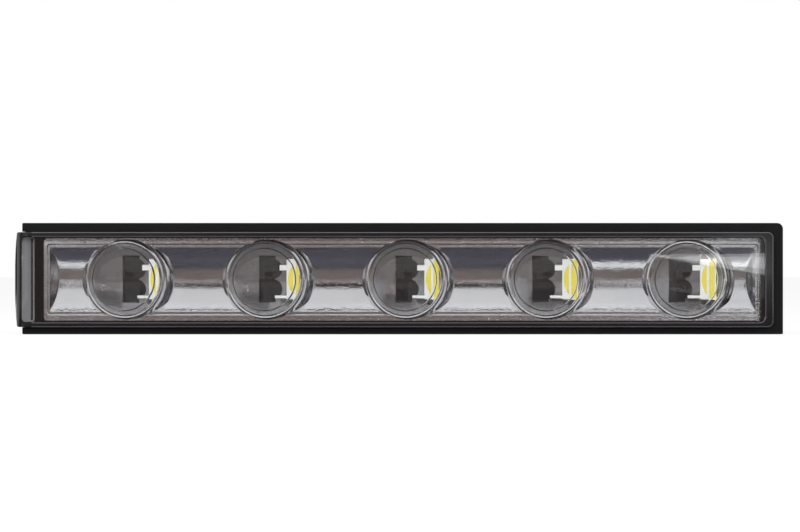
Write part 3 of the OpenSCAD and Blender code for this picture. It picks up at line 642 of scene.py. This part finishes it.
class StageOperator(bpy.types.Operator):
    """Add the floor, the backdrop, the lamps and the camera"""

    bl_idname = "drl.stage"
    bl_label = "Stage"

    def execute(self, context):
        studio = context.scene.drl_studio
        context.scene.view_settings.view_transform = "Standard"
        self.add_backdrop(context, studio)
        self.add_floor(studio)
        self.add_tent(studio)
        self.add_cards()
        self.add_lamps(context, studio)
        self.add_camera(context, studio)
        return {"FINISHED"}

    @staticmethod
    def add_backdrop(context, studio):
        """A white world for the camera, the mirrors and the glass, and an even light for the rest."""
        world = bpy.data.worlds.new("studio_white")
        context.scene.world = world
        world.use_nodes = True
        tree = world.node_tree
        tree.nodes.clear()
        levels = {"To Min": studio.ambient, "To Max": studio.backdrop}
        level = add(tree, "ShaderNodeMapRange", {"Value": seen_directly(tree), **levels})
        white = add(tree, "ShaderNodeBackground", {"Color": WHITE, "Strength": level.outputs["Result"]})
        add(tree, "ShaderNodeOutputWorld", {"Surface": white.outputs[0]})

    @staticmethod
    def add_floor(studio):
        """A plain pale floor that keeps the lamp's shadow."""
        material, tree = new_material("stage_floor")
        matt = add(tree, "ShaderNodeBsdfDiffuse", {"Color": (*studio.floor_colour, 1)})
        white = add(tree, "ShaderNodeEmission", {"Color": WHITE, "Strength": studio.backdrop * FLOOR_GLOW})
        share = reckon(tree, "MULTIPLY", seen_directly(tree), FLOOR_SHARE)
        mix = add(tree, "ShaderNodeMixShader", {0: share, 1: matt.outputs[0], 2: white.outputs[0]})
        add(tree, "ShaderNodeOutputMaterial", {"Surface": mix.outputs[0]})
        reach = FLOOR_REACH
        corners = [(-reach, -reach, 0), (reach, -reach, 0), (reach, reach, 0), (-reach, reach, 0)]
        floor = studio_mesh("studio_floor", corners, [(0, 1, 2, 3)], material, mirrored_only=False)

    @staticmethod
    def tent_material(studio):
        """Bands by height, with a pale flank to either side."""
        material, tree = new_material("stage_cards")
        place = add(tree, "ShaderNodeNewGeometry").outputs["Position"]
        offset = add(tree, "ShaderNodeVectorMath", {0: place, 1: (0, 0, MIDDLE_Z)}, operation="SUBTRACT")
        parts = add(tree, "ShaderNodeSeparateXYZ", {0: offset.outputs[0]}).outputs
        forward = reckon(tree, "MULTIPLY", parts["Y"], -1.0)
        height = reckon(tree, "ARCTAN2", parts["Z"], forward)
        right_angle = math.pi / 2
        share = add(tree, "ShaderNodeMapRange",
                    {"Value": height, "From Min": -right_angle, "From Max": right_angle})
        bands = ramp(tree, share.outputs["Result"], [((rise + 90) / 180, tone) for rise, tone in TENT_BANDS])
        aside = reckon(tree, "ABSOLUTE", parts["X"])
        away = add(tree, "ShaderNodeMapRange", {"Value": aside, "From Max": studio.tent_radius})
        flanks = ramp(tree, away.outputs["Result"], [(at, (cover,) * 3) for at, cover in TENT_FLANKS])
        lit = mixed(tree, flanks, bands, FLANK_COLOUR)
        glow = add(tree, "ShaderNodeEmission", {"Color": lit, "Strength": 1.0})
        add(tree, "ShaderNodeOutputMaterial", {"Surface": glow.outputs[0]})
        return material

    def add_tent(self, studio):
        """Grey and white cards as one half ball in front of the lamp, flattened where it meets the floor."""
        material = self.tent_material(studio)
        radius = studio.tent_radius
        rows, columns, lift = 48, 24, 0.5 * MM
        verts, faces = [], []
        for row in range(rows + 1):
            up = math.pi * row / rows - math.pi / 2
            for column in range(columns + 1):
                side = math.pi * column / columns - math.pi / 2
                z = MIDDLE_Z + radius * math.sin(up)
                verts.append((radius * math.cos(up) * math.sin(side), -radius * math.cos(up) * math.cos(side),
                              max(z, lift)))
        across = columns + 1
        for row in range(rows):
            for column in range(columns):
                start = row * across + column
                faces.append((start, start + 1, start + across + 1, start + across))
        tent = studio_mesh("studio_tent", verts, faces, material)

    @staticmethod
    def add_cards():
        """Cards for the streak on the cover, the highlights on the lenses and the lamp's two ends."""
        cards = {name: (glow, [(x, depth, z) for x, z in outline])
                 for name, (glow, depth, outline) in UPRIGHT_CARDS.items()}
        cards |= {name: (glow, [(x, y, STRIP_HEIGHT) for x, y in outline])
                  for name, (glow, outline) in FLOOR_STRIPS.items()}
        for name, (glow, corners) in cards.items():
            material, tree = new_material(name)
            light = add(tree, "ShaderNodeEmission", {"Color": WHITE, "Strength": glow})
            add(tree, "ShaderNodeOutputMaterial", {"Surface": light.outputs[0]})
            card = studio_mesh(name, corners, [tuple(range(len(corners)))], material)

    def add_lamps(self, context, studio):
        """One large soft lamp above, and one in front that reaches into the light chambers."""
        to_lamp = Vector(SOFTBOX_PLACE).to_track_quat("Z", "Y").to_euler()
        self.add_area_lamp(context, "studio_softbox", SOFTBOX_PLACE, SOFTBOX_SIZE, to_lamp, studio.lamp_power)
        tilt = (FRONT_TILT, 0, 0)
        self.add_area_lamp(context, "studio_front", FRONT_PLACE, FRONT_SIZE, tilt, studio.front_power)

    @staticmethod
    def add_area_lamp(context, name, place, size, tilt, power):
        """A flat soft lamp that mirrors and glass don't show."""
        light = bpy.data.lights.new(name, "AREA")
        light.shape = "RECTANGLE"
        light.size, light.size_y = size
        light.energy = power
        lamp = bpy.data.objects.new(name, light)
        lamp.location = place
        lamp.rotation_euler = tilt
        lamp.visible_glossy = False
        lamp.visible_transmission = False
        context.scene.collection.objects.link(lamp)

    @staticmethod
    def add_camera(context, studio):
        """The camera, level and square to the lamp's face."""
        rim_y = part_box("housing")[0][1]
        view = bpy.data.cameras.new("camera")
        view.lens = studio.focal_length
        view.sensor_width = SENSOR_WIDTH
        camera = bpy.data.objects.new("camera", view)
        camera.location = (studio.camera_side, rim_y - studio.camera_distance, studio.camera_height)
        camera.rotation_euler = (math.pi / 2, 0, 0)
        context.scene.collection.objects.link(camera)
        context.scene.camera = camera


# Pieces

SHELL_ROUNDING = 0.2 * MM
BAND_ROUNDING = 0.25 * MM


class HousingOperator(bpy.types.Operator):
    """Finish the housing and the sealing bead"""

    bl_idname = "drl.housing"
    bl_label = "Housing"

    def execute(self, context):
        colours = context.scene.drl_finish
        black = plastic("grained_black", colours.housing, rough=(0.42, 0.56), grain=0.35, specular=0.2)
        present(softened("housing_shell", "housing", black, SHELL_ROUNDING), "housing_black", "housing")
        dress(plastic("seal_rubber", colours.rubber, rough=(0.6, 0.75), grain=0.2), "lens_seal")
        return {"FINISHED"}


class CoverOperator(bpy.types.Operator):
    """Finish the clear cover and the black band round it"""

    bl_idname = "drl.cover"
    bl_label = "Cover"

    def execute(self, context):
        colours = context.scene.drl_finish
        dress(clear_plastic("cover_clear", colours.clear, ior=1.58, waviness=0.01), "outer_lens")
        # The band's rounded edges get a painted highlight in the edge colour.
        gloss = plastic("band_gloss", colours.rim, rough=(0.06, 0.1), grain=0.02, scale=500.0, ior=1.55,
                        edge=colours.rim_edge)
        band = softened("cover_band", "cover_rim", gloss, BAND_ROUNDING, clamped=False)
        present(band, "rim_black", "cover_rim")
        return {"FINISHED"}


class BezelOperator(bpy.types.Operator):
    """Build the chromed trough with its lips, collars and screw posts"""

    bl_idname = "drl.bezel"
    bl_label = "Bezel"

    def execute(self, context):
        chrome = mirror_metal("chrome", context.scene.drl_finish.chrome, rough=(0.03, 0.06), peel=0.1,
                              grain=0.32, grain_scale=2400.0)
        bezel = mesh_object("bezel_chrome", *self.trough(context), chrome)
        for number in LENS_NUMBERS:
            self.cut_bore(context, bezel, number)
        parts = [self.collar(context, number) for number in LENS_NUMBERS] + self.posts(context)
        collars = mesh_object("bezel_collars", *joined(parts), chrome)
        with context.temp_override(active_object=bezel, selected_editable_objects=[bezel, collars]):
            bpy.ops.object.join()
        finish_mesh(bezel, chrome)
        present(bezel, "chrome", "bezel")
        return {"FINISHED"}

    @staticmethod
    def places(context):
        """The bezel's ends, middle height and half height, and the depths of its lips and its back."""
        shape = context.scene.drl_bezel
        low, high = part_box("bezel")
        rim_y = low[1] + (shape.bore + shape.collar_edge) * math.sin(context.scene.drl_lens.yaw)
        middle_z, half = (low[2] + high[2]) / 2, (high[2] - low[2]) / 2
        return low[0], high[0], middle_z, half, rim_y + shape.lens_proud, high[1]

    @staticmethod
    def ring(left, right, half, middle_z, depth, corner, across=160, up=18, turn=4):
        """One closed rounded rectangle at a depth, always with as many points."""
        corner = min(corner, half * 0.9)
        top, bottom = middle_z + half, middle_z - half
        inner_top, inner_bottom = middle_z + half - corner, middle_z - half + corner
        # Per side: the corner's middle and angles, the first and last point before it, and their number
        sides = [
            (right - corner, inner_top, 90, 0, (left + corner, top), (right - corner, top), across),
            (right - corner, inner_bottom, 0, -90, (right, inner_top), (right, inner_bottom), up),
            (left + corner, inner_bottom, -90, -180, (right - corner, bottom), (left + corner, bottom),
             across),
            (left + corner, inner_top, -180, -270, (left, inner_bottom), (left, inner_top), up),
        ]
        points = []
        for x, z, start, end, first, last, count in sides:
            for i in range(count):
                share = i / count
                points.append((first[0] + (last[0] - first[0]) * share, depth,
                               first[1] + (last[1] - first[1]) * share))
            points += [(px, depth, pz) for px, pz in arc((x, z), corner, start, end, turn)[:-1]]
        return points

    def trough(self, context):
        """The trough as rings from its front bottom over the lips and round to its back."""
        shape = context.scene.drl_bezel
        left, right, middle_z, half, lip_y, _ = self.places(context)
        mouth = half - shape.lip
        radius = (mouth ** 2 + shape.depth ** 2) / (2 * shape.depth)
        axis_y = lip_y + shape.depth - radius
        widest = math.asin(mouth / radius)
        soft, near, step = shape.rounding, shape.rounding / 2, shape.step
        wall_corner, step_corner, lip_corner, outer_corner = 0.6 * MM, 0.8 * MM, 0.9 * MM, 1.0 * MM
        rings = []

        def wall_x(depth, wall=0.0):
            lean = shape.end_lean * (depth - lip_y) / shape.depth
            return left + shape.end_margin + lean - wall, right - shape.end_margin - lean + wall

        # The trough's wall, from a narrow slit at its bottom to the step
        steps, slit = 44, 0.008
        for i in range(steps + 1):
            turn = slit + (widest - slit) * i / steps
            depth = max(axis_y + radius * math.cos(turn), lip_y + step)
            rings.append((*wall_x(depth), radius * math.sin(turn), depth, wall_corner))

        # The step, the flat lip between two support rings, and the roundings on both its edges
        step_left, step_right = left + shape.end_margin - step, right - shape.end_margin + step
        rings.append((step_left + 0.6 * step, step_right - 0.6 * step, mouth + 0.4 * step, lip_y + step,
                      step_corner))
        for offset, rise in arc((0, 0), near, 180, 90, 4):
            rings.append((step_left - near - offset, step_right + near + offset, mouth + step + near + offset,
                          lip_y + near - rise, lip_corner))
        keep = 0.04 * MM
        rings.append((step_left - near - keep, step_right + near + keep, mouth + step + near + keep, lip_y,
                      lip_corner))
        rings.append((left + soft + keep, right - soft - keep, half - soft - keep, lip_y, outer_corner))
        for offset, rise in arc((0, 0), soft, 90, 0, 6):
            rings.append((left + soft - offset, right - soft + offset, half - soft + offset,
                          lip_y + soft - rise, outer_corner))

        # The skirt and the back of the trough
        back = lip_y + shape.skirt
        inner = shape.wall * 0.8  # the skirt is a little thinner than the trough
        rings.append((left, right, half, back, outer_corner))
        for depth in (back, lip_y + shape.wall):
            rings.append((left + inner, right - inner, half - inner, depth, wall_corner))
        outer_radius = radius + shape.wall
        steps, slit, back_corner = 16, 0.01, 0.5 * MM
        for i in range(steps, -1, -1):
            turn = slit + (math.asin((half - inner) / outer_radius) - 2 * slit) * i / steps
            depth = axis_y + outer_radius * math.cos(turn)
            ends = wall_x(depth, shape.wall)
            rings.append((max(ends[0], left + inner), min(ends[1], right - inner),
                          outer_radius * math.sin(turn), depth, back_corner))

        verts, faces, count = [], [], 0
        for ends_left, ends_right, high, depth, corner in rings:
            points = self.ring(ends_left, ends_right, high, middle_z, depth, corner)
            if count:
                base = len(verts) - count
                for i in range(count):
                    j = (i + 1) % count
                    faces.append((base + i, base + j, base + count + j, base + count + i))
            count = len(points)
            verts += points
        faces.append(tuple(reversed(range(count))))
        faces.append(tuple(range(len(verts) - count, len(verts))))
        inner_z = middle_z + half - shape.lip
        return [self.leant(vert, inner_z, shape, lip_y) for vert in verts], faces

    @staticmethod
    def leant(vert, inner_z, shape, lip_y):
        """Leans the upper lip back a little towards its outer edge."""
        x, y, z = vert
        if y > lip_y + shape.step or z < inner_z:
            return vert
        return x, y + (z - inner_z) * math.tan(shape.lip_lean), z

    @staticmethod
    def cut_bore(context, bezel, number):
        """Opens the trough behind a collar."""
        shape, lens = context.scene.drl_bezel, context.scene.drl_lens
        radius = shape.bore + shape.collar_edge / 2
        front, back = -2 * MM, lens.depth + 4 * MM
        section = [(0, front), (radius, front), (radius, back), (0, back)]
        verts, faces = revolve(section, lens.segments, lens_place(number))
        combine(bezel, mesh_object("bore_tool", verts, faces, bezel.data.materials[0]), "DIFFERENCE")

    @staticmethod
    def collar(context, number):
        """A straight sleeve with a beaded edge and a foot that flares in two steps."""
        shape, lens = context.scene.drl_bezel, context.scene.drl_lens
        foot = shape.lens_proud + shape.depth
        back = lens.depth - lens.ear_thickness - 0.1 * MM
        bead, bead_lean = shape.bead, math.radians(27)
        slope = bead * math.tan(bead_lean)
        inner, outer = shape.bore, shape.bore + 2 * bead + 0.08 * MM
        widest = shape.bore + shape.collar_edge + shape.flare
        # The flare's ledge lies halfway down to the foot, and its shoulder a third of the way out
        ledge, shoulder = 0.55 * foot, outer + 0.3 * (widest - outer)
        sleeve = [(inner, back), (inner, slope + 0.05 * MM), (inner + 0.02 * MM, slope)]
        crest = [(inner + bead, 0.01 * MM), (inner + bead + 0.04 * MM, 0), (outer - bead, 0.01 * MM)]
        neck = [(outer, slope), (outer + 0.05 * MM, slope + 0.12 * MM)]
        flare = [(shoulder, ledge - 0.35 * MM), (shoulder, ledge - 0.2 * MM), (shoulder + bead, ledge)]
        base = [(widest - 0.1 * MM, foot - 0.2 * MM), (widest, foot), (widest, back)]
        low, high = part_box("bezel")
        limit = (high[2] - low[2]) / 2 - 0.05 * MM
        return revolve(sleeve + crest + neck + flare + base, lens.segments, lens_place(number), limit)

    def posts(self, context):
        """The four screw posts behind the ends."""
        shape = context.scene.drl_bezel
        left, right, middle_z, half, lip_y, back_y = self.places(context)
        hole, grip, segments = shape.post_radius / 2, 6 * MM, 40
        front_y = lip_y + shape.wall * 1.55  # just behind the wall of the lip
        section = [(0, front_y), (shape.post_radius, front_y), (shape.post_radius, back_y),
                   (hole, back_y), (hole, back_y - grip), (0, back_y - grip)]
        parts = []
        for x in (left + shape.mount_margin, right - shape.mount_margin):
            for side in (-1, 1):
                place = Matrix.Translation((x, 0, middle_z + side * (half - shape.post_radius)))
                parts.append(revolve(section, segments, place))
        return parts


class LensOperator(bpy.types.Operator):
    """Build the five clear projector lenses"""

    bl_idname = "drl.lenses"
    bl_label = "Lenses"

    def execute(self, context):
        shape = context.scene.drl_lens
        clear = clear_plastic("lens_clear", context.scene.drl_finish.clear, ior=1.49, waviness=0.004)
        section = self.section(shape)
        for number in LENS_NUMBERS:
            place = lens_place(number)
            lens = mesh_object(f"projector_lens_{number}", *revolve(section, shape.segments, place), clear)
            combine(lens, self.ears(shape, place, clear), "UNION")
            finish_mesh(lens, clear)
            present(lens, "clear_lens", f"lens_{number}")
        return {"FINISHED"}

    @staticmethod
    def section(shape):
        """Half a lens cut along its axis: the dome with its ring groove, the barrel and the flat back."""
        sag = shape.dome_radius - math.sqrt(shape.dome_radius ** 2 - shape.radius ** 2)
        centre = shape.dome_radius - sag
        edge_angle = math.degrees(math.asin(shape.radius / shape.dome_radius))
        steps, short_of_edge, groove_reach, chamfer = 56, 0.8, 0.09 * MM, 0.5 * MM
        dome = arc((0, centre), shape.dome_radius, -90, -90 + edge_angle - short_of_edge, steps)
        dome[0] = (0, -sag)
        grooved = []
        for r, depth in dome:
            in_groove = abs(r - shape.groove_radius) < groove_reach
            grooved.append((r, depth + (shape.groove if in_groove else 0)))
        return grooved + [
            (shape.radius - 0.02 * MM, 0.05 * MM), (shape.radius, shape.edge),
            (shape.radius, shape.depth - chamfer), (shape.radius - chamfer, shape.depth), (0, shape.depth),
        ]

    @staticmethod
    def ears(shape, place, material):
        """Both ears as one flat disc with a straight top and bottom."""
        reach = shape.radius + shape.ear_reach
        half, steps = math.degrees(math.asin(shape.ear_height / 2 / reach)), 12
        outline = arc((0, 0), reach, -half, half, steps)
        outline += arc((0, 0), reach, 180 - half, 180 + half, steps)
        front, back = shape.depth - shape.ear_thickness, shape.depth - 0.05 * MM
        count = len(outline)
        verts = [place @ Vector((x, depth, z)) for depth in (front, back) for x, z in outline]
        faces = [tuple(range(count)), tuple(reversed(range(count, 2 * count)))]
        faces += [(i, i + count, (i + 1) % count + count, (i + 1) % count) for i in range(count)]
        return mesh_object("ears_tool", verts, faces, material)


class LightOperator(bpy.types.Operator):
    """Finish the light chambers, the light sources and their phosphors"""

    bl_idname = "drl.lights"
    bl_label = "Light sources"

    def execute(self, context):
        colours = context.scene.drl_finish
        # The chamber walls get painted shade in their darker colour.
        chamber = chamber_metal("chamber_metal", colours.chamber, colours.well, rough=(0.1, 0.16))
        white = plastic("led_white", colours.white, rough=(0.45, 0.55), grain=0.1, depth=0.93)
        yellow = plastic("phosphor_yellow", colours.yellow, rough=(0.5, 0.6), grain=0.3, depth=0.92)
        for number in LENS_NUMBERS:
            dress(chamber, f"reflector_cup_{number}")
            dress(white, f"led_{number}")
            dress(yellow, f"phosphor_{number}")
        return {"FINISHED"}


class ElectronicsOperator(bpy.types.Operator):
    """Finish the circuit board, its components and the contact blades"""

    bl_idname = "drl.electronics"
    bl_label = "Electronics"

    def execute(self, context):
        colours = context.scene.drl_finish
        dress(plastic("board_black", colours.board, rough=(0.25, 0.4), grain=0.15, scale=1500.0,
                      specular=0.25), "circuit_board")
        dress(plastic("pad_silicone", colours.pad, rough=(0.55, 0.7), grain=0.3), "thermal_pad")
        dress(plastic("part_black", colours.part, rough=(0.4, 0.5), grain=0.2),
              "driver_chip", "inductor", "diode")
        dress(plastic("part_ceramic", colours.ceramic, rough=(0.3, 0.4), grain=0.1),
              "capacitors", "resistors")
        dress(plain_metal("terminal_tin", colours.tin, rough=(0.22, 0.35)), "terminal_left", "terminal_right")
        return {"FINISHED"}


class RearOperator(bpy.types.Operator):
    """Finish the heat sink, the screws, the inserts and the vent"""

    bl_idname = "drl.rear"
    bl_label = "Rear parts"

    def execute(self, context):
        colours = context.scene.drl_finish
        dress(plain_metal("sink_aluminium", colours.aluminium, rough=(0.34, 0.48), grain=0.3), "heat_sink")
        dress(plain_metal("screw_steel", colours.steel, rough=(0.2, 0.32)),
              "heat_sink_screws", "board_screws", "bezel_screws")
        dress(plain_metal("insert_brass", colours.brass, rough=(0.2, 0.32), lines=(600.0, 3000.0, 600.0)),
              "insert_left", "insert_right")
        dress(plastic("vent_black", colours.housing, rough=(0.35, 0.45), grain=0.2), "vent_plug")
        dress(plastic("membrane_white", colours.membrane, rough=(0.7, 0.8), grain=0.4), "vent_membrane")
        return {"FINISHED"}


OPERATORS = (StageOperator, HousingOperator, CoverOperator, BezelOperator, LensOperator, LightOperator,
             ElectronicsOperator, RearOperator)


class LampPanel(bpy.types.Panel):
    """Lists the steps that build the lamp"""

    bl_idname = "DRL_PT_lamp"
    bl_label = "Running Light"
    bl_space_type = "VIEW_3D"
    bl_region_type = "UI"
    bl_category = "Running Light"

    def draw(self, context):
        for operator in OPERATORS:
            self.layout.operator(operator.bl_idname, text=operator.bl_label)
        for name, group in SETTINGS.items():
            box = self.layout.box()
            box.label(text=group.__doc__)
            for prop in group.__annotations__:
                box.prop(getattr(context.scene, name), prop)


def register():
    for name, group in SETTINGS.items():
        bpy.utils.register_class(group)
        setattr(bpy.types.Scene, name, PointerProperty(type=group))
    for cls in (*OPERATORS, LampPanel):
        bpy.utils.register_class(cls)


def unregister():
    for cls in reversed((*OPERATORS, LampPanel)):
        bpy.utils.unregister_class(cls)
    for name, group in SETTINGS.items():
        delattr(bpy.types.Scene, name)
        bpy.utils.unregister_class(group)


def main():
    register()
    bpy.ops.drl.stage()
    bpy.ops.drl.housing()
    bpy.ops.drl.cover()
    bpy.ops.drl.bezel()
    bpy.ops.drl.lenses()
    bpy.ops.drl.lights()
    bpy.ops.drl.electronics()
    bpy.ops.drl.rear()


if __name__ == "__main__":
    main()
